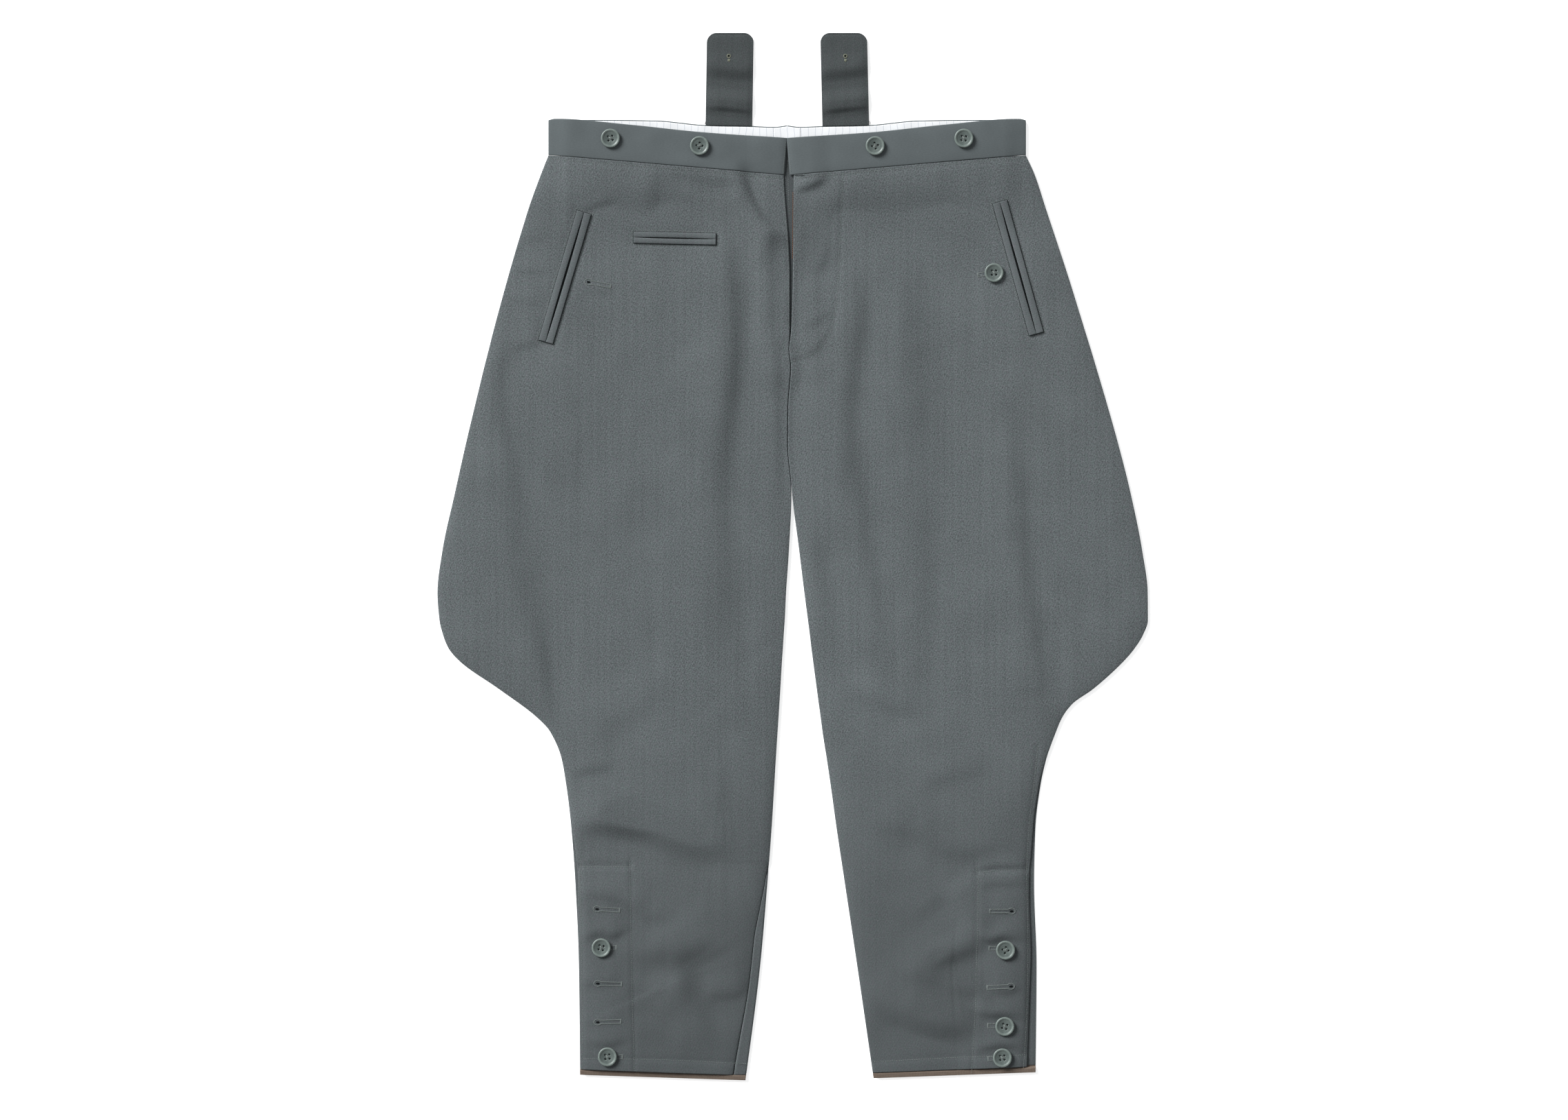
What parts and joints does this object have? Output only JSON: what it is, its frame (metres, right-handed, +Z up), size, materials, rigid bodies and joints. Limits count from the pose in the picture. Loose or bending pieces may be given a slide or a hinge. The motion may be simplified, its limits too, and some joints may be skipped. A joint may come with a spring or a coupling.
{
  "type": "cavalry twill riding breeches laid flat",
  "caption": "Riding breeches laid flat, front up: flared thighs, narrow buttoned calves, button fly, jetted pockets and two back tabs.",
  "frame": {"origin": "middle of the outline, on the surface that the breeches lie on", "axes": "+X to the wearer's left, +Y towards the waist, +Z up, out of the front of the garment"},
  "size_m": [0.6906, 1.0183, 0.0096],
  "materials": {
    "twill": "steep twill weave, grey with a blue-green cast, matt",
    "band_cloth": "smooth fine cloth, matt",
    "tab_cloth": "smooth fine cloth, darker, matt",
    "lining": "white cotton with thin grey-blue stripes",
    "hem_tape": "brown woven tape",
    "button": "grey-green, half gloss"
  },
  "bodies": {
    "root": {"back_right": "twill", "back_left": "twill", "front_right": "twill", "front_left": "twill", "fly_strip": "twill", "pocket_welt_right_outer": "twill", "pocket_welt_right_inner": "twill", "pocket_welt_left_outer": "twill", "pocket_welt_left_inner": "twill", "watch_welt_upper": "twill", "watch_welt_lower": "twill", "waistband_back_right": "band_cloth", "waistband_back_left": "band_cloth", "waistband_front_right": "band_cloth", "waistband_front_left": "band_cloth", "tab_right": "tab_cloth", "tab_left": "tab_cloth", "waistband_lining_right": "lining", "lining_center_back": "lining", "waistband_lining_left": "lining", "hem_tape_right": "hem_tape", "hem_tape_left": "hem_tape", "button_waist_1": "button", "button_waist_2": "button", "button_waist_3": "button", "button_waist_4": "button", "button_pocket_left": "button", "button_calf_right_1": "button", "button_calf_right_2": "button", "button_calf_left_1": "button", "button_calf_left_2": "button", "button_calf_left_3": "button"}
  },
  "joints": []
}
